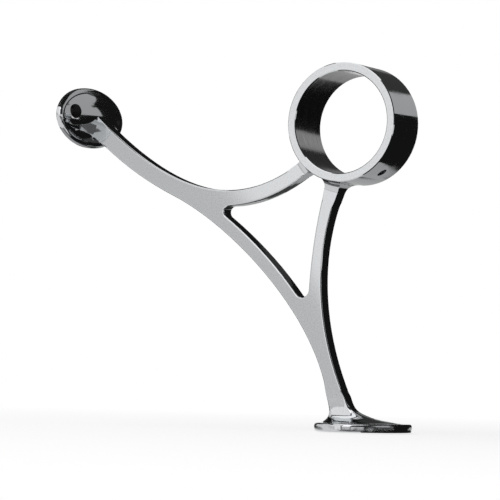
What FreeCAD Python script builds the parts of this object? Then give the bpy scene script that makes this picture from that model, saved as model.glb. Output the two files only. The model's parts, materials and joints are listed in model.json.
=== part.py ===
"""Combination foot rail bracket: one polished casting and the screw that locks the rail tube.

Millimetres. The origin is the centre of the floor flange's underside, +Z is up, +X points away
from the wall and Y runs along the rail.
"""
import FreeCAD
import Part
import math
import os

V = FreeCAD.Vector

# Rail and collar
rail_diameter = 50.8
rail_clearance = 0.4
collar_wall = 4.2
collar_length = 27.0
collar_edge_chamfer = 0.4
rail_height = 153.0
rail_to_wall = 158.2
rail_to_foot = 9.9

# Wall flange, an oval that is long along the rail and crowned inside a flat border
wall_flange_length = 60.8
wall_flange_height = 31.6
wall_flange_thickness = 3.5
wall_flange_edge_radius = 2.2
wall_flange_border = 0.8
wall_flange_crown = 5.5
wall_flange_above_rail = 6.7

# Floor flange, an oval that is long along the rail
floor_flange_length = 62.0
floor_flange_width = 44.2
floor_flange_thickness = 4.2
floor_flange_edge_radius = 1.5

# Underside edges of both flanges and the countersunk screw holes
flange_back_chamfer = 0.5
wall_hole_spacing = 42.0
wall_hole_rise = 2.2
floor_hole_spacing = 38.0
screw_hole_diameter = 4.5
countersink_diameter = 8.4
countersink_angle = 90.0

# The web that joins collar and flanges: section, bar widths and the window's corners
web_thickness = 8.0
arm_fork_width = 8.6
arm_collar_width = 6.8
brace_width = 6.9
upright_collar_width = 9.6
upright_waist_width = 6.0
upright_tip_width = 7.8
window_fork_radius = 3.0
window_tip_radius = 3.9
collar_root_radius = 5.5

# The arm's root at the wall flange and the leg's root at the floor flange
wall_root_height = 12.2
wall_root_drop = 6.4
leg_root_width = 9.7
leg_root_setback = 14.2

# Directions of the web's edges in degrees from +X, all running from the wall or collar to the foot
arm_top_wall_angle = -41.2
arm_top_collar_angle = 39.3
outer_wall_angle = -38.3
outer_fork_angle = -24.4
outer_foot_angle = -78.4
front_collar_angle = -118.2
front_foot_angle = -64.1

# Places round the bore, in degrees, that the arm's top and the upright's front edge aim at
arm_top_collar_place = 213.2
front_collar_place = 266.8

# Point under the fork that the outer edge passes, measured from the rail's axis
fork_back = 101.0
fork_below = 35.4

# How far each end of an edge follows its direction, as a share of the edge's chord
arm_top_wall_pull = 0.413
arm_top_collar_pull = 0.436
outer_wall_pull = 0.36
outer_fork_pull_in = 0.41
outer_fork_pull_out = 0.269
outer_foot_pull = 0.315
front_collar_pull = 0.342
front_foot_pull = 0.371

# Stretches of the arm's top and of the leg's front edge that have the window beside them
arm_window_from = 0.5
upright_window_to = 0.58

# The arm's flare: depth in front of the wall flange, and its spread, widest towards the upper rim
wall_flare_depth = 6.2
wall_flare_up = 3.0
wall_flare_down = 4.8
wall_flare_low_side = 0.6
wall_flare_high_side = 0.9
wall_side_power = 3.0
wall_sweep_power = 2.0

# The leg's flare: height above the floor flange, its spread, and the rounding of the leg's corners
floor_flare_height = 13.0
floor_flare_side = 6.0
floor_flare_front = 24.5
floor_flare_back = 4.9
leg_corner_rounding = 2.5
floor_side_power = 6.0
floor_sweep_power = 4.4

# Both flares: sections, the smallest flat run, corner radius at the bar and how late a side fans out
flare_sections = 6
flare_end_flat = 0.3
flare_corner_radius = 0.2
fan_start = 0.5
fan_end = 0.15
fan_turn = 0.7

# Set screw, a socket screw with a cupped point
screw_place = -55.5
screw_diameter = 5.0
screw_length = 3.0
screw_thread_clearance = 0.1
screw_tip_clearance = 0.3
screw_chamfer = 0.4
socket_across_flats = 2.5
socket_depth = 1.5
cup_depth = 0.7

# Fixed numbers of the constructions below
WELL_OUTSIDE = 4
OFFSET_POINTS = 9
EDGE_POINTS = 3
QUARTER_ARC_HANDLE = 4 / 3 * (math.sqrt(2) - 1)
HEXAGON = 6
TOUCHING = 1e-3
QUARTER_TURN = 90
FULL_TURN = 360

# Working values that follow from the sizes above
bore_radius = (rail_diameter + rail_clearance) / 2
collar_radius = bore_radius + collar_wall
rail_x = -rail_to_foot
wall_x = rail_x - rail_to_wall
wall_face_x = wall_x + wall_flange_thickness
wall_flange_z = rail_height + wall_flange_above_rail
wall_hole_z = wall_flange_z + wall_hole_rise
crown_half_height = wall_flange_height / 2 - wall_flange_edge_radius - wall_flange_border
crown_half_length = wall_flange_length / 2 - wall_flange_edge_radius - wall_flange_border
crown_ball = (crown_half_height ** 2 + wall_flange_crown ** 2) / (2 * wall_flange_crown)
wall_root_x = wall_face_x + wall_flare_depth
wall_root_z = wall_flange_z - wall_root_drop
leg_root_z = floor_flange_thickness + floor_flare_height
half_web = web_thickness / 2
rail_axis = V(rail_x, 0, rail_height)
far = WELL_OUTSIDE * (rail_height + rail_to_wall)


def direction(angle):
    return V(math.cos(math.radians(angle)), 0, math.sin(math.radians(angle)))


def on_bore(place):
    return rail_axis + direction(place) * bore_radius


def edge_curve(start, start_angle, start_pull, end, end_angle, end_pull):
    """A cubic that leaves start and reaches end in the given directions."""
    chord = start.distanceToPoint(end)
    curve = Part.BezierCurve()
    curve.setPoles([start, start + direction(start_angle) * start_pull * chord,
                    end - direction(end_angle) * end_pull * chord, end])
    return curve


def beside(curve, first, last, first_width, middle_width, last_width):
    """The far side of a bar whose near side is a stretch of the curve; positive is to its left."""
    bulge = 4 * middle_width - 2 * (first_width + last_width)
    points = []
    for i in range(OFFSET_POINTS):
        share = i / (OFFSET_POINTS - 1)
        at = first + (last - first) * share
        width = first_width + (last_width - first_width) * share + bulge * share * (1 - share)
        along = curve.tangent(at)[0]
        points.append(curve.value(at) + V(-along.z, 0, along.x) * width)
    side = Part.BSplineCurve()
    side.interpolate(points)
    return side


def line(start, end):
    return Part.LineSegment(start, end).toShape()


def face_of(edges):
    return Part.Face(Part.Wire(Part.__sortEdges__(edges)))


def extrude_web(face):
    face.translate(V(0, -half_web, 0))
    return face.extrude(V(0, web_thickness, 0))


def rail_cylinder(radius, length):
    return Part.makeCylinder(radius, length, rail_axis - V(0, length / 2, 0), V(0, 1, 0))


def all_at(values, level):
    return all(abs(value - level) < TOUCHING for value in values)


# Outer edges of the web
wall_root_top = V(wall_root_x, 0, wall_root_z + wall_root_height / 2)
wall_root_low = V(wall_root_x, 0, wall_root_z - wall_root_height / 2)
leg_root_back = V(-leg_root_setback - leg_root_width / 2, 0, leg_root_z)
leg_root_front = V(-leg_root_setback + leg_root_width / 2, 0, leg_root_z)
fork = V(rail_x - fork_back, 0, rail_height - fork_below)
arm_top = edge_curve(wall_root_top, arm_top_wall_angle, arm_top_wall_pull,
                     on_bore(arm_top_collar_place), arm_top_collar_angle, arm_top_collar_pull)
arm_under = edge_curve(wall_root_low, outer_wall_angle, outer_wall_pull,
                       fork, outer_fork_angle, outer_fork_pull_in)
brace_under = edge_curve(fork, outer_fork_angle, outer_fork_pull_out,
                         leg_root_back, outer_foot_angle, outer_foot_pull)
leg_front = edge_curve(on_bore(front_collar_place), front_collar_angle, front_collar_pull,
                       leg_root_front, front_foot_angle, front_foot_pull)


def corner_edges(window):
    """The window's edges that run through the web's thickness."""
    return [e for e in window.Edges if all_at([abs(e.tangentAt(e.FirstParameter).y)], 1)]


def make_window():
    """The three-cornered window: what lies inside the upper arm, the brace and the upright."""
    below_arm = beside(arm_top, arm_window_from, 1, -arm_fork_width,
                       -(arm_fork_width + arm_collar_width) / 2, -arm_collar_width)
    above_brace = beside(brace_under, 0, 1, brace_width, brace_width, brace_width)
    behind_upright = beside(leg_front, 0, upright_window_to, -upright_collar_width,
                            -upright_waist_width, -upright_tip_width)
    regions = []
    for side, away in ((below_arm, V(far, 0, -far)), (above_brace, V(far, 0, far)),
                       (behind_upright, V(-far, 0, far / 2))):
        start, end = side.StartPoint, side.EndPoint
        before = start - side.tangent(side.FirstParameter)[0] * collar_radius
        after = end + side.tangent(side.LastParameter)[0] * collar_radius
        corner = (start + end) * 0.5 + away
        regions.append(face_of([line(before, start), side.toShape(), line(end, after),
                                line(after, corner), line(corner, before)]))
    opening = regions[0].common(regions[1]).common(regions[2]).Faces[0]
    window = extrude_web(opening)
    fork_corner = min(corner_edges(window), key=lambda e: e.CenterOfMass.x)
    window = window.makeFillet(window_fork_radius, [fork_corner])
    tip_corner = min(corner_edges(window), key=lambda e: e.CenterOfMass.z)
    return window.makeFillet(window_tip_radius, [tip_corner])


def make_web():
    """Upper arm, brace, upright and leg as one thick plate with crisp edges."""
    outline = [c.toShape() for c in (arm_top, leg_front, brace_under, arm_under)]
    outline += [line(arm_top.EndPoint, rail_axis), line(rail_axis, leg_front.StartPoint),
                line(leg_root_front, leg_root_back), line(wall_root_low, wall_root_top)]
    return extrude_web(face_of(outline)).cut(make_window())


def make_collar_and_web():
    """The web cast to the solid collar, with a fillet round each root."""
    collar = rail_cylinder(collar_radius, collar_length)
    ends = [e for e in collar.Edges if all_at([abs(e.CenterOfMass.y)], collar_length / 2)]
    collar = collar.makeChamfer(collar_edge_chamfer, ends)
    body = collar.fuse(make_web()).removeSplitter()
    roots = []
    for edge in body.Edges:
        points = edge.discretize(EDGE_POINTS)
        radii = [math.hypot(p.x - rail_x, p.z - rail_height) for p in points]
        beside_web = max(abs(p.y) for p in points) < half_web + TOUCHING
        if all_at(radii, collar_radius) and beside_web:
            roots.append(edge)
    return body.makeFillet(collar_root_radius, roots)


def oval_section(place, low_end, high_end):
    """Closed wire with four elliptical corners; an end is its level, half width and corner sizes."""
    def corner(end, side, outward, v_first):
        v, half, v_round, y_round = end
        y = half * side
        on_end = (v, y - y_round * side)
        on_side = (v - v_round * outward, y)
        start, finish = (on_end, on_side) if v_first else (on_side, on_end)
        handles = [(p[0] + (v - p[0]) * QUARTER_ARC_HANDLE, p[1] + (y - p[1]) * QUARTER_ARC_HANDLE)
                   for p in (start, finish)]
        return bezier([start, *handles, finish])

    def bezier(points):
        curve = Part.BezierCurve()
        curve.setPoles([place(*p) for p in points])
        return curve.toShape()

    def flank(side):
        """The run beside the bar: straight at the low end and fanning out towards the high end."""
        low = (low_end[0] + low_end[2], low_end[1] * side)
        high = (high_end[0] - high_end[2], high_end[1] * side)
        rise, fan = high[0] - low[0], high[1] - low[1]
        return [high, (high[0] - fan_end * rise, high[1] - fan_turn * fan),
                (low[0] + fan_start * rise, low[1]), low]

    high_run = high_end[1] - high_end[3]
    low_run = low_end[1] - low_end[3]
    return Part.Wire([corner(high_end, 1, 1, True), bezier(flank(1)), corner(low_end, 1, -1, False),
                      bezier([(low_end[0], low_run), (low_end[0], -low_run)]),
                      corner(low_end, -1, -1, True), bezier(flank(-1)[::-1]), corner(high_end, -1, 1, False),
                      bezier([(high_end[0], -high_run), (high_end[0], high_run)])])


def make_flare(place, depth, low_end, high_end, side_power, sweep_power):
    """Trumpet from a bar's end to its flange; an end is its level, lead, spread, side spread and rounding."""
    wires = []
    for i in range(flare_sections + 1):
        u = i / flare_sections
        ends = []
        for level, lead, spread, side, rounding in (low_end, high_end):
            sweep = spread * u ** sweep_power
            half = half_web + side * u ** side_power
            v_round = flare_corner_radius + rounding * u + abs(sweep)
            y_round = flare_corner_radius + (half - flare_end_flat - flare_corner_radius) * u
            ends.append((level + lead * depth * u + sweep, half, v_round, y_round))
        wires.append(oval_section(place(depth * (1 - u)), *ends))
    return Part.makeLoft(wires, True, False)


def make_flange(major_end, minor_end, centre, thickness, edge_radius):
    """Oval plate with a rounded-over front edge; thickness is the way from its back to its front."""
    oval = Part.Face(Part.Wire(Part.Ellipse(major_end, minor_end, centre).toShape()))
    plate = oval.extrude(thickness)

    def rim(level):
        return [e for e in plate.Edges if isinstance(e.Curve, Part.Ellipse)
                and all_at([e.Curve.Center.distanceToPoint(level)], 0)]

    plate = plate.makeFillet(edge_radius, rim(centre + thickness))
    return plate.makeChamfer(flange_back_chamfer, rim(centre))


def crown_height(y, z):
    """How far the wall flange's crown stands out at a place on its face."""
    off = math.hypot(y * crown_half_height / crown_half_length, z)
    return math.sqrt(crown_ball ** 2 - off ** 2) - crown_ball + wall_flange_crown


def make_crown():
    """Oval dome on the wall flange: a ball's cap, drawn out along the rail."""
    foot_latitude = math.degrees(math.asin(1 - wall_flange_crown / crown_ball))
    cap = Part.makeSphere(crown_ball, V(wall_flange_crown - crown_ball, 0, 0), V(1, 0, 0),
                          foot_latitude, QUARTER_TURN, FULL_TURN)
    draw_out = FreeCAD.Matrix()
    draw_out.scale(1, crown_half_length / crown_half_height, 1)
    return cap.transformGeometry(draw_out).translated(V(wall_face_x, 0, wall_flange_z))


def countersunk_hole(face_point, inward, depth):
    """Tool for one screw hole that goes in at a flange's face."""
    hole_radius = screw_hole_diameter / 2
    mouth_radius = countersink_diameter / 2
    slope = math.tan(math.radians(countersink_angle / 2))
    run_out = depth
    shank = Part.makeCylinder(hole_radius, depth + run_out, face_point, inward)
    cone_depth = (mouth_radius - hole_radius) / slope
    head = Part.makeCone(mouth_radius, hole_radius, cone_depth, face_point, inward)
    access = Part.makeCylinder(mouth_radius, run_out, face_point - inward * run_out, inward)
    return shank.fuse([head, access])


def make_casting():
    body = make_collar_and_web()
    wall_flare = make_flare(
        lambda d: lambda v, y: V(wall_face_x + d, y, v), wall_flare_depth,
        (wall_root_low.z, -math.tan(math.radians(outer_wall_angle)), -wall_flare_down,
         wall_flare_low_side, 0),
        (wall_root_top.z, -math.tan(math.radians(arm_top_wall_angle)), wall_flare_up,
         wall_flare_high_side, 0), wall_side_power, wall_sweep_power)
    floor_flare = make_flare(
        lambda d: lambda v, y: V(v, y, floor_flange_thickness + d), floor_flare_height,
        (leg_root_back.x, -1 / math.tan(math.radians(outer_foot_angle)), -floor_flare_back,
         floor_flare_side, leg_corner_rounding),
        (leg_root_front.x, -1 / math.tan(math.radians(front_foot_angle)), floor_flare_front,
         floor_flare_side, leg_corner_rounding), floor_side_power, floor_sweep_power)
    wall_centre = V(wall_x, 0, wall_flange_z)
    wall_flange = make_flange(wall_centre + V(0, wall_flange_length / 2, 0),
                              wall_centre + V(0, 0, wall_flange_height / 2),
                              wall_centre, V(wall_flange_thickness, 0, 0), wall_flange_edge_radius)
    floor_flange = make_flange(V(0, floor_flange_length / 2, 0), V(floor_flange_width / 2, 0, 0),
                               V(0, 0, 0), V(0, 0, floor_flange_thickness), floor_flange_edge_radius)
    casting = body.fuse([wall_flare, floor_flare]).fuse([wall_flange, make_crown(), floor_flange])
    holes = [rail_cylinder(bore_radius, collar_length + collar_wall)]
    wall_hole_crown = crown_height(wall_hole_spacing / 2, wall_hole_rise)
    for side in (-1, 1):
        wall_hole_mouth = V(wall_face_x + wall_hole_crown, side * wall_hole_spacing / 2, wall_hole_z)
        holes.append(countersunk_hole(wall_hole_mouth, V(-1, 0, 0), wall_flange_thickness + wall_hole_crown))
        holes.append(countersunk_hole(V(0, side * floor_hole_spacing / 2, floor_flange_thickness),
                                      V(0, 0, -1), floor_flange_thickness))
    tapped_radius = screw_diameter / 2 + screw_thread_clearance
    holes.append(Part.makeCylinder(tapped_radius, collar_radius, rail_axis, direction(screw_place)))
    casting = casting.cut(holes).removeSplitter()
    rims = [e for e in casting.Edges if isinstance(e.Curve, Part.Circle)
            and all_at([e.Curve.Radius], bore_radius) and all_at([abs(e.CenterOfMass.y)], collar_length / 2)]
    return casting.makeChamfer(collar_edge_chamfer, rims)


def make_set_screw():
    """Headless screw that stands in the collar's wall, clear of the rail."""
    axis = direction(screw_place)
    tip = rail_axis + axis * (bore_radius + screw_tip_clearance)
    shank = Part.makeCylinder(screw_diameter / 2, screw_length, tip, axis)
    ends = [e for e in shank.Edges if e.isClosed()]
    shank = shank.makeChamfer(screw_chamfer, ends)
    cup = Part.makeCone(cup_depth, 0, cup_depth, tip, axis)
    socket_floor = tip + axis * (screw_length - socket_depth)
    corner_radius = socket_across_flats / 2 / math.cos(math.pi / HEXAGON)
    across = V(0, 1, 0)
    along = axis.cross(across)
    corners = []
    for i in range(HEXAGON + 1):
        turn = 2 * math.pi * i / HEXAGON
        corners.append(socket_floor + (across * math.cos(turn) + along * math.sin(turn)) * corner_radius)
    socket = Part.Face(Part.makePolygon(corners)).extrude(axis * screw_length)
    return shank.cut([cup, socket])


os.makedirs("parts", exist_ok=True)
for name, shape in (("bracket_casting", make_casting()), ("set_screw", make_set_screw())):
    shape.Solids[0].exportStep("parts/" + name + ".step")
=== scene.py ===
"""Looks of the foot rail bracket: polished chrome casting, steel set screw and a plain pale studio."""
import json
import math

import bmesh
import bpy
from mathutils import Matrix, Vector


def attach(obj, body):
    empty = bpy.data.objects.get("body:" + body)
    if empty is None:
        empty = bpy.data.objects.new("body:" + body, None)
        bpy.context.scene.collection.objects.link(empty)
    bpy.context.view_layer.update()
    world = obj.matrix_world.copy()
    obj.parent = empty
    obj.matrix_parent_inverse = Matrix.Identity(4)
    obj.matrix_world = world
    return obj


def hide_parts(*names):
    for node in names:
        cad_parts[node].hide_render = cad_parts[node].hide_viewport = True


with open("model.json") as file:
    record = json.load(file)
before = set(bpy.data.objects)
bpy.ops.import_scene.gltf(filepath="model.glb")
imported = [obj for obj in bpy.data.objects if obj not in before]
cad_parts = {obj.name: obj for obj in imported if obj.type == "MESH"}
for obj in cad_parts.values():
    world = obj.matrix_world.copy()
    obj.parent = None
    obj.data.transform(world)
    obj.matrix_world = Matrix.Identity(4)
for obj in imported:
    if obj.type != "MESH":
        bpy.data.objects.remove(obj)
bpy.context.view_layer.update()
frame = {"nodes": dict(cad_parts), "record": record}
scene = bpy.context.scene

# Bracket casting: collar, forked arm, leg and both flanges poured as one piece in brass,
# ground and buffed by hand on its faces and then plated with bright chrome. Its bore is
# turned and its screw holes are drilled after casting.
MM = 0.001
chrome_colour = "C6C8CA"
buff_mark_length = 9.0 * MM
buff_mark_depth = 0.004 * MM


def linear(hex_colour):
    """An sRGB hex colour as linear RGBA."""
    def channel(pair):
        value = int(pair, 16) / 255
        return value / 12.92 if value <= 0.04045 else ((value + 0.055) / 1.055) ** 2.4
    return (*(channel(hex_colour[i:i + 2]) for i in (0, 2, 4)), 1.0)


def new_material(name):
    material = bpy.data.materials.new(name)
    material.use_nodes = True
    material.node_tree.nodes.clear()
    return material


def add_node(material, kind, inputs=None, **settings):
    """Adds a shader node; an input's value is a constant or another node's output socket."""
    node = material.node_tree.nodes.new(kind)
    for name, value in settings.items():
        setattr(node, name, value)
    for name, value in (inputs or {}).items():
        if isinstance(value, bpy.types.NodeSocket):
            material.node_tree.links.new(value, node.inputs[name])
        else:
            node.inputs[name].default_value = value
    return node


# Buffed chrome plate: a mirror with faint cloudy wipe marks that only soften it here and there.
chrome = new_material("buffed_chrome_plate")
place = add_node(chrome, "ShaderNodeTexCoord")
marks = add_node(chrome, "ShaderNodeTexNoise", {
    "Vector": place.outputs["Object"], "Scale": 1 / buff_mark_length, "Detail": 1.0, "Roughness": 0.5})
sheen = add_node(chrome, "ShaderNodeMapRange", {
    "Value": marks.outputs["Fac"], "From Min": 0.3, "From Max": 0.7, "To Min": 0.05, "To Max": 0.12})
ripple = add_node(chrome, "ShaderNodeBump", {"Height": marks.outputs["Fac"], "Distance": buff_mark_depth})
chrome_shader = add_node(chrome, "ShaderNodeBsdfPrincipled", {
    "Base Color": linear(chrome_colour), "Metallic": 1.0, "Roughness": sheen.outputs["Result"],
    "Normal": ripple.outputs["Normal"]})
add_node(chrome, "ShaderNodeOutputMaterial", {"Surface": chrome_shader.outputs["BSDF"]})

# Turned bore: the collar's inside is left as the lathe tool cut it, with rings round the rail, and plated
# over. The rings are drawn coarser than a lathe's feed, so that they show.
ring_pitch = 0.45 * MM
ring_depth = 0.006 * MM
along_the_rail = (0.06, 1.0, 0.06)
bore = new_material("plated_turned_bore")
place = add_node(bore, "ShaderNodeTexCoord")
across = add_node(bore, "ShaderNodeVectorMath", {0: place.outputs["Object"], 1: along_the_rail},
                  operation="MULTIPLY")
rings = add_node(bore, "ShaderNodeTexNoise", {
    "Vector": across.outputs["Vector"], "Scale": 1 / ring_pitch, "Detail": 3.0})
satin = add_node(bore, "ShaderNodeMapRange", {
    "Value": rings.outputs["Fac"], "From Min": 0.3, "From Max": 0.7, "To Min": 0.10, "To Max": 0.22})
tone = add_node(bore, "ShaderNodeMapRange", {
    "Value": rings.outputs["Fac"], "From Min": 0.3, "From Max": 0.7, "To Min": 0.26, "To Max": 0.46})
grooves = add_node(bore, "ShaderNodeBump", {"Height": rings.outputs["Fac"], "Distance": ring_depth})
bore_shader = add_node(bore, "ShaderNodeBsdfPrincipled", {
    "Base Color": tone.outputs["Result"], "Metallic": 1.0, "Roughness": satin.outputs["Result"],
    "Normal": grooves.outputs["Normal"]})
add_node(bore, "ShaderNodeOutputMaterial", {"Surface": bore_shader.outputs["BSDF"]})

# Hand-buffed faces: the broad flat sides keep a fine mottle of the buffing mop, so they mirror softly.
mottle_size = 0.8 * MM
mottle_depth = 0.001 * MM
mottle_dark, mottle_light = "BEC0C2", "CED0D2"
satin_face = new_material("hand_buffed_face")
place = add_node(satin_face, "ShaderNodeTexCoord")
mottle = add_node(satin_face, "ShaderNodeTexNoise", {
    "Vector": place.outputs["Object"], "Scale": 1 / mottle_size, "Detail": 3.0, "Roughness": 0.55})
haze = add_node(satin_face, "ShaderNodeMapRange", {
    "Value": mottle.outputs["Fac"], "From Min": 0.3, "From Max": 0.7, "To Min": 0.04, "To Max": 0.08})
cloud = add_node(satin_face, "ShaderNodeMapRange", {
    "Value": mottle.outputs["Fac"], "From Min": 0.3, "From Max": 0.7})
tint = add_node(satin_face, "ShaderNodeMixRGB", {
    "Fac": cloud.outputs["Result"], "Color1": linear(mottle_dark), "Color2": linear(mottle_light)})
dimples = add_node(satin_face, "ShaderNodeBump", {"Height": mottle.outputs["Fac"], "Distance": mottle_depth})
satin_shader = add_node(satin_face, "ShaderNodeBsdfPrincipled", {
    "Base Color": tint.outputs["Color"], "Metallic": 1.0, "Roughness": haze.outputs["Result"],
    "Normal": dimples.outputs["Normal"]})
add_node(satin_face, "ShaderNodeOutputMaterial", {"Surface": satin_shader.outputs["BSDF"]})

# Drilled holes: the drill leaves a dull wall that the plating bath hardly reaches. Its near-black colour is
# painted shade, standing for the shade down inside the holes.
drill_mark = 0.5 * MM
# near-black wall colour: painted shade in the screw holes
hole_shade_colour = "2F2F2F"
hole_wall_and_shade = new_material("drilled_hole_wall_and_painted_shade")
place = add_node(hole_wall_and_shade, "ShaderNodeTexCoord")
scratches = add_node(hole_wall_and_shade, "ShaderNodeTexNoise", {
    "Vector": place.outputs["Object"], "Scale": 1 / drill_mark, "Detail": 3.0})
dull = add_node(hole_wall_and_shade, "ShaderNodeMapRange", {
    "Value": scratches.outputs["Fac"], "To Min": 0.4, "To Max": 0.6})
hole_wall_and_shade_shader = add_node(hole_wall_and_shade, "ShaderNodeBsdfPrincipled", {
    "Base Color": linear(hole_shade_colour), "Metallic": 1.0, "Roughness": dull.outputs["Result"]})
add_node(hole_wall_and_shade, "ShaderNodeOutputMaterial", {"Surface": hole_wall_and_shade_shader.outputs["BSDF"]})

# The casting's own mesh with its crisp edges eased, as the buffing wheel leaves them.
eased_edge = 0.8 * MM
crisp_from = math.radians(62)
flat_within = math.radians(0.2)
merge_distance = 0.002 * MM
flat_slack, round_slack = 0.01 * MM, 0.02 * MM
web_half, collar_half, collar_radius = 4.0 * MM, 13.5 * MM, 29.8 * MM
root_clearance, wall_root_end, leg_root_end = 7.0 * MM, 11.0 * MM, 18.0 * MM
mounts = {mount["name"]: Vector(mount["pos_m"]) for mount in frame["record"]["mounts"]}
rail_axis, wall_face = mounts["rail_bore"], mounts["wall_face"]
shape = bmesh.new()
shape.from_mesh(frame["nodes"]["bracket_casting"].data)
bmesh.ops.remove_doubles(shape, verts=shape.verts, dist=merge_distance)
bmesh.ops.dissolve_limit(shape, angle_limit=flat_within, verts=shape.verts, edges=shape.edges)


def from_rail(spot):
    """How far a place is from the rail's axis."""
    return math.hypot(spot.x - rail_axis.x, spot.z - rail_axis.z)


def on_web_outline(vert):
    """Along the web's bars, but clear of the collar and of both flares."""
    return (abs(abs(vert.co.y) - web_half) < flat_slack
            and from_rail(vert.co) > collar_radius + root_clearance
            and vert.co.x > wall_face.x + wall_root_end and vert.co.z > leg_root_end)


def on_collar_rim(vert):
    """On the outer edge of either end of the collar."""
    return (abs(abs(vert.co.y) - collar_half) < flat_slack
            and abs(from_rail(vert.co) - collar_radius) < round_slack)


for on_outline in (on_web_outline, on_collar_rim):
    crisp = [edge for edge in shape.edges if edge.is_manifold and edge.calc_face_angle() > crisp_from
             and on_outline(edge.verts[0]) and on_outline(edge.verts[1])]
    bmesh.ops.bevel(shape, geom=crisp, offset=eased_edge, offset_type="OFFSET", segments=3, profile=0.5,
                    affect="EDGES", clamp_overlap=False, material=-1)

# Each face takes its finish from where it is on the casting and how far its normal leans along an axis; the
# screw holes' walls take the painted shade.
finishes = (chrome, bore, hole_wall_and_shade, satin_face)
bore_lean, hole_lean, broad_side_lean = 0.5, 0.8, 0.97
bore_radius, bore_slack = 25.6 * MM, 0.15 * MM
countersink_radius = 4.35 * MM
wall_hole_y, floor_hole_y = 21.0 * MM, 19.0 * MM
wall_flange_reach, floor_flange_reach = 13.1 * MM, 5.0 * MM
for face in shape.faces:
    face.smooth = True
    spot, normal = face.calc_center_median(), face.normal
    inward = (spot.x - rail_axis.x) * normal.x + (spot.z - rail_axis.z) * normal.z < 0
    in_bore = from_rail(spot) < bore_radius + bore_slack and abs(normal.y) < bore_lean and inward
    from_wall_hole = math.hypot(abs(spot.y) - wall_hole_y, spot.z - mounts["wall_holes"].z)
    in_wall_hole = (from_wall_hole < countersink_radius and abs(normal.x) < hole_lean
                    and spot.x < wall_face.x + wall_flange_reach)
    from_floor_hole = math.hypot(abs(spot.y) - floor_hole_y, spot.x)
    in_floor_hole = (from_floor_hole < countersink_radius and abs(normal.z) < hole_lean
                     and spot.z < floor_flange_reach)
    on_broad_side = abs(normal.y) > broad_side_lean
    # walls of the screw holes get the painted shade
    finish = (bore if in_bore else hole_wall_and_shade if in_wall_hole or in_floor_hole
              else satin_face if on_broad_side else chrome)
    face.material_index = finishes.index(finish)

# Edges stay sharp where the casting has a true corner; the crown's border is the shallowest of these.
wall_flange_thickness = 3.5 * MM
corner_from, crown_border_from = math.radians(33), math.radians(15)
crown_foot_x = wall_face.x + wall_flange_thickness
for edge in shape.edges:
    round_the_crown = all(abs(vert.co.x - crown_foot_x) < round_slack for vert in edge.verts)
    sharp_from = crown_border_from if round_the_crown else corner_from
    edge.smooth = edge.is_manifold and edge.calc_face_angle() < sharp_from
mesh = bpy.data.meshes.new("buffed_casting")
shape.to_mesh(mesh)
shape.free()
casting = bpy.data.objects.new("buffed_casting", mesh)
scene.collection.objects.link(casting)
for finish in finishes:
    casting.data.materials.append(finish)

# Flat faces shade flat up to their edges, and the wall flange's crown mirrors smoothly: its corners take
# the slope of the true ball, drawn out along the rail, that it was cut from.
crown_rise, crown_half_height, crown_half_length = 5.5 * MM, 12.8 * MM, 27.4 * MM
crown_ball = (crown_half_height ** 2 + crown_rise ** 2) / (2 * crown_rise)
crown_middle = Vector((crown_foot_x + crown_rise - crown_ball, 0, wall_face.z))
drawn_out = crown_half_height / crown_half_length
crown_slack, crown_match = 0.03 * MM, 0.95
weigh = casting.modifiers.new("flat_faces_stay_flat", "WEIGHTED_NORMAL")
weigh.keep_sharp = True
weighed = casting.evaluated_get(bpy.context.evaluated_depsgraph_get()).data
slopes = [corner.vector.copy() for corner in weighed.corner_normals]
casting.modifiers.remove(weigh)
for face in mesh.polygons:
    for corner in face.loop_indices:
        off = mesh.vertices[mesh.loops[corner].vertex_index].co - crown_middle
        out = Vector((off.x, off.y * drawn_out, off.z)).length
        on_crown = abs(out - crown_ball) < crown_slack and off.x > crown_ball - crown_rise - flat_slack
        slope = Vector((off.x, off.y * drawn_out ** 2, off.z)).normalized()
        if on_crown and slope.dot(face.normal) > crown_match:
            slopes[corner] = slope
mesh.normals_split_custom_set(slopes)
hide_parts("bracket_casting")
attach(casting, "root")

# Set screw: a headless socket screw of turned steel with a black oxide finish, a thin dark skin
# that hardly shines. It is sunk in the collar's wall and locks the tube.
screw_colour = "2E2F31"
oxide_grain = 0.4 * MM
steel = new_material("black_oxide_steel")
place = add_node(steel, "ShaderNodeTexCoord")
grain = add_node(steel, "ShaderNodeTexNoise", {
    "Vector": place.outputs["Object"], "Scale": 1 / oxide_grain, "Detail": 3.0})
dull = add_node(steel, "ShaderNodeMapRange", {"Value": grain.outputs["Fac"], "To Min": 0.25, "To Max": 0.5})
steel_shader = add_node(steel, "ShaderNodeBsdfPrincipled", {
    "Base Color": linear(screw_colour), "Metallic": 1.0, "Roughness": dull.outputs["Result"]})
add_node(steel, "ShaderNodeOutputMaterial", {"Surface": steel_shader.outputs["BSDF"]})
screw = frame["nodes"]["set_screw"]
screw.data.materials.clear()
screw.data.materials.append(steel)

# Camera: a long lens at the photograph's angle, from the right front and just above the floor,
# tipped up a little. Its place is given from the rail's axis, its lens in the photograph's pixels.
image_width = 500
focal_pixels = 2680.0
camera_azimuth, camera_elevation, camera_roll = math.radians(29.66), math.radians(-2.64), math.radians(1.52)
camera_distance = 1339.6 * MM
camera_aside, camera_below = 51.48 * MM, 62.80 * MM
sight_end = 100
level = Vector((math.cos(camera_azimuth), math.sin(camera_azimuth), 0))
back = Vector((math.sin(camera_azimuth) * math.cos(camera_elevation),
               -math.cos(camera_azimuth) * math.cos(camera_elevation), math.sin(camera_elevation)))
plumb = back.cross(level)
right = math.cos(camera_roll) * level + math.sin(camera_roll) * plumb
up = -math.sin(camera_roll) * level + math.cos(camera_roll) * plumb
camera = bpy.data.objects.new("camera", bpy.data.cameras.new("camera"))
scene.collection.objects.link(camera)
camera.matrix_world = Matrix((right, up, back)).transposed().to_4x4()
camera.location = rail_axis - camera_aside * right - camera_below * up + camera_distance * back
camera.data.lens = focal_pixels / image_width * camera.data.sensor_width
camera.data.clip_end = sight_end
scene.camera = camera

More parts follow.
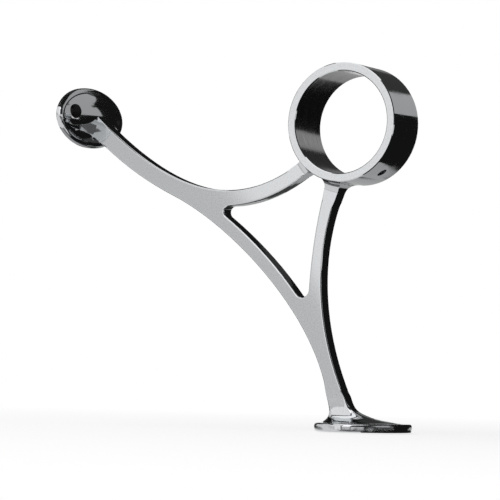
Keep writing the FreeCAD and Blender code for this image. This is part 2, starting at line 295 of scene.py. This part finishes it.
# Floor and backdrop: a plain white table top, matt, that runs to a far white wall. It looks white by
# itself except near the bracket, where it keeps the bracket's soft shadow.
floor_size = 40.0
floor_level = -0.0006
floor_colour = "F4F4F4"
shadow_reach, open_floor = 0.1, 0.6
wall_distance, wall_size, wall_height = 9.0, 2.6, 0.55
white_light = (1, 1, 1, 1)
facing_up = (0, 0, 1)


def lit_sheet(name, strength):
    """A sheet that gives off an even light of its own."""
    material = new_material(name)
    glow = add_node(material, "ShaderNodeEmission", {"Color": white_light, "Strength": strength})
    add_node(material, "ShaderNodeOutputMaterial", {"Surface": glow.outputs["Emission"]})
    return material


def flat_card(name, sheet, centre, toward, width, height, turned=0.0):
    """A flat card of the stage at a place, facing along a direction and turned in its plane by degrees."""
    shape = bmesh.new()
    bmesh.ops.create_grid(shape, x_segments=1, y_segments=1, size=0.5)
    toward = Vector(toward).normalized()
    level_side = Vector(facing_up).cross(toward)
    lies_flat = level_side.length < 0.01
    side = Vector((1, 0, 0)) if lies_flat else level_side.normalized()
    side = Matrix.Rotation(math.radians(turned), 3, toward) @ side
    lift = toward.cross(side)
    turn = Matrix((side * width, lift * height, toward)).transposed().to_4x4()
    bmesh.ops.transform(shape, matrix=Matrix.Translation(centre) @ turn, verts=shape.verts)
    mesh = bpy.data.meshes.new(name)
    shape.to_mesh(mesh)
    shape.free()
    card = bpy.data.objects.new(name, mesh)
    scene.collection.objects.link(card)
    card.data.materials.append(sheet)
    return card


white = new_material("white_table_top")
light_path = add_node(white, "ShaderNodeLightPath")
mirrored = add_node(white, "ShaderNodeMath", {
    0: light_path.outputs["Is Camera Ray"], 1: light_path.outputs["Is Glossy Ray"]}, operation="MAXIMUM")
seen = add_node(white, "ShaderNodeMath", {
    0: mirrored.outputs["Value"], 1: light_path.outputs["Is Transmission Ray"]}, operation="MAXIMUM")
place = add_node(white, "ShaderNodeTexCoord")
away = add_node(white, "ShaderNodeVectorMath", {0: place.outputs["Object"]}, operation="LENGTH")
own_light = add_node(white, "ShaderNodeMapRange", {
    "Value": away.outputs["Value"], "From Min": shadow_reach, "From Max": open_floor,
    "To Min": 0.75, "To Max": 1.0})
share = add_node(white, "ShaderNodeMath", {0: seen.outputs["Value"], 1: own_light.outputs["Result"]},
                 operation="MULTIPLY")
matt = add_node(white, "ShaderNodeBsdfDiffuse", {"Color": linear(floor_colour)})
bright = add_node(white, "ShaderNodeEmission", {"Color": white_light, "Strength": 1.0})
both = add_node(white, "ShaderNodeMixShader", {
    0: share.outputs["Value"], 1: matt.outputs["BSDF"], 2: bright.outputs["Emission"]})
add_node(white, "ShaderNodeOutputMaterial", {"Surface": both.outputs["Shader"]})
flat_card("floor", white, (0, 0, floor_level), facing_up, floor_size, floor_size)

behind = -Vector((back.x, back.y, 0)).normalized()
wall_centre = Vector((rail_axis.x, rail_axis.y, wall_height)) + behind * wall_distance
flat_card("backdrop", lit_sheet("white_backdrop", 1.0), wall_centre, -behind, wall_size, wall_size)

# Light cards: white boards with a light on them, hung round the bracket, which its polished faces mirror.
# The one in front brightens to the right and upward, for the soft step in tone on the web's broad side.
facing_down = (0, 0, -1)
fade_along = (1.0, 0.0, 1.0)
fade_from, fade_to = -0.470, -0.432
front_light = new_material("front_light")
place = add_node(front_light, "ShaderNodeTexCoord")
across = add_node(front_light, "ShaderNodeVectorMath", {0: place.outputs["Object"], 1: fade_along},
                  operation="DOT_PRODUCT")
fade = add_node(front_light, "ShaderNodeMapRange", {
    "Value": across.outputs["Value"], "From Min": fade_from, "From Max": fade_to,
    "To Min": 0.78, "To Max": 1.18}, interpolation_type="SMOOTHSTEP")
glow = add_node(front_light, "ShaderNodeEmission", {"Color": white_light, "Strength": fade.outputs["Result"]})
add_node(front_light, "ShaderNodeOutputMaterial", {"Surface": glow.outputs["Emission"]})
soft_light = lit_sheet("soft_light", 0.8)
left_of_lens, behind_lens = 0.354, 0.05
beside_lens = camera.location - right * left_of_lens + back * behind_lens
light_cards = (
    flat_card("front_light_card", front_light, centre=(-0.65, -1.0, 0.60), toward=(0, 1, 0),
              width=1.2, height=1.6),
    flat_card("light_card_beside_lens", lit_sheet("front_light_beside_lens", 1.5),
              centre=(beside_lens.x, beside_lens.y, 0.62), toward=-back, width=0.70, height=1.0),
    flat_card("soft_card_beside_lens", soft_light, centre=(beside_lens.x, beside_lens.y, 0.06),
              toward=-back, width=0.70, height=0.12),
    flat_card("soft_card_low_at_the_right", soft_light, centre=(0.764, -0.741, 0.06),
              toward=(-0.75, 0.66, 0), width=0.66, height=0.12),
    flat_card("light_card_at_the_left", lit_sheet("side_light", 0.9), centre=(-1.2, -0.2, 0.70),
              toward=(1, 0, 0), width=1.6, height=1.4),
    flat_card("light_card_overhead", lit_sheet("overhead_light", 1.4), centre=(-0.15, -0.15, 1.5),
              toward=facing_down, width=1.5, height=1.2),
    flat_card("light_card_high_in_front", lit_sheet("edge_light", 1.9), centre=(0.33, -1.12, 1.33),
              toward=(-0.33, 1.12, -1.23), width=0.76, height=0.80))

# Dark cards: black and grey boards that stand round the bracket or hang close to it. They are what the
# collar, the window's sides and the wall flange mirror.
facing_front = (0, -1, 0)
black, dark = lit_sheet("black_card", 0.01), lit_sheet("dark_card", 0.06)
soft, shade = lit_sheet("soft_card", 0.20), lit_sheet("shade_card", 0.22)
dim, grey = lit_sheet("dim_card", 0.45), lit_sheet("grey_card", 0.50)
standing_cards = (
    flat_card("black_card_behind", black, centre=(0.09, 0.24, 0.105), toward=(-0.35, -1, 0),
              width=0.34, height=0.21),
    flat_card("grey_card_behind", grey, centre=(0.55, 1.3, 0.53), toward=(-0.35, -1, 0),
              width=0.9, height=0.66),
    flat_card("grey_card_at_the_right", grey, centre=(0.81, 0.495, 0.5625), toward=(-0.883, -0.47, 0),
              width=1.07, height=0.885),
    flat_card("soft_card_behind", soft, centre=(-0.50, 1.2, 0.50), toward=(0.35, -1, -0.3),
              width=0.35, height=0.25),
    flat_card("black_card_by_the_wall", black, centre=(-0.158, 0.116, 0.20), toward=facing_front,
              width=0.142, height=0.10),
    flat_card("black_card_above_the_wall", black, centre=(-0.1575, -0.0365, 0.20), toward=facing_down,
              width=0.055, height=0.057),
    flat_card("grey_card_above_the_wall", grey, centre=(-0.094, 0.083, 0.276), toward=(-0.35, -0.61, -0.7),
              width=0.165, height=0.09),
    flat_card("grey_card_below_the_wall", dim, centre=(-0.195, 0.0175, 0.10), toward=facing_up,
              width=0.06, height=0.095),
    flat_card("black_card_below_the_arm", black, centre=(-0.126, 0.03, 0.098), toward=facing_front,
              width=0.048, height=0.095),
    flat_card("black_card_below_the_brace", black, centre=(-0.066, 0.03, 0.065), toward=facing_front,
              width=0.072, height=0.05),
    flat_card("black_card_by_the_fork", black, centre=(-0.075, 0.06, 0.145), toward=facing_front,
              width=0.05, height=0.04),
    flat_card("black_card_low_by_the_fork", black, centre=(-0.0665, 0.06, 0.074), toward=facing_front,
              width=0.037, height=0.018))

# Cards on the table: sheets of black and grey paper laid flat round the foot, in front of the bracket and
# behind it. They are what the collar, the upright, the leg and the foot mirror from below.
card_level, under_card_level = -0.0003, -0.00035


def lying_card(name, sheet, left, right, near, far, level=card_level):
    """A card that lies on the table, given by its edges."""
    centre = ((left + right) / 2, (near + far) / 2, level)
    return flat_card(name, sheet, centre, facing_up, right - left, far - near)


lying_cards = (
    lying_card("black_card_by_the_foot", black, left=0.012, right=1.012, near=-0.04, far=0.12),
    lying_card("black_card_on_table", black, left=0.047, right=1.03, near=0.12, far=0.60),
    lying_card("grey_card_on_table", dim, left=-0.085, right=0.047, near=0.12, far=0.30),
    lying_card("grey_card_far_on_table", dim, left=-0.60, right=0.047, near=0.30, far=1.20),
    lying_card("dark_card_on_table", dark, left=-0.60, right=-0.085, near=0.04, far=0.30),
    lying_card("dark_card_near_on_table", dark, left=-0.60, right=-0.18, near=-0.05, far=0.04),
    lying_card("soft_card_on_table", soft, left=-0.18, right=-0.085, near=-0.05, far=0.04),
    lying_card("shade_card_in_front", shade, left=-0.02, right=0.58, near=-0.64, far=-0.20,
               level=under_card_level),
    flat_card("black_card_in_front", black, centre=(0.285, -0.195, card_level), toward=facing_up,
              width=0.62, height=0.14, turned=-25))
for card in light_cards + standing_cards + lying_cards:
    card.visible_camera = False
    card.visible_shadow = False
for card in standing_cards + lying_cards:
    card.visible_diffuse = False

# Lamps: one broad soft key from above the left front, aimed at the leg, and a dim even surround.
# The key is left out of the mirror image, where the cards stand for it.
key_size, key_watts = 2.2, 22
key_place, key_aim = Vector((-0.5, -0.6, 1.5)), Vector((0, 0, 0.1))
surround_colour = "3C3C3C"
key = bpy.data.objects.new("key_lamp", bpy.data.lights.new("key_lamp", "AREA"))
scene.collection.objects.link(key)
key.data.size = key_size
key.data.energy = key_watts
key.location = key_place
key.rotation_euler = (key_aim - key_place).to_track_quat("-Z", "Y").to_euler()
key.visible_glossy = False
scene.world = bpy.data.worlds.new("surround")
scene.world.use_nodes = True
surround = scene.world.node_tree.nodes["Background"]
surround.inputs["Color"].default_value = linear(surround_colour)
surround.inputs["Strength"].default_value = 1.0
scene.view_settings.view_transform = "Standard"
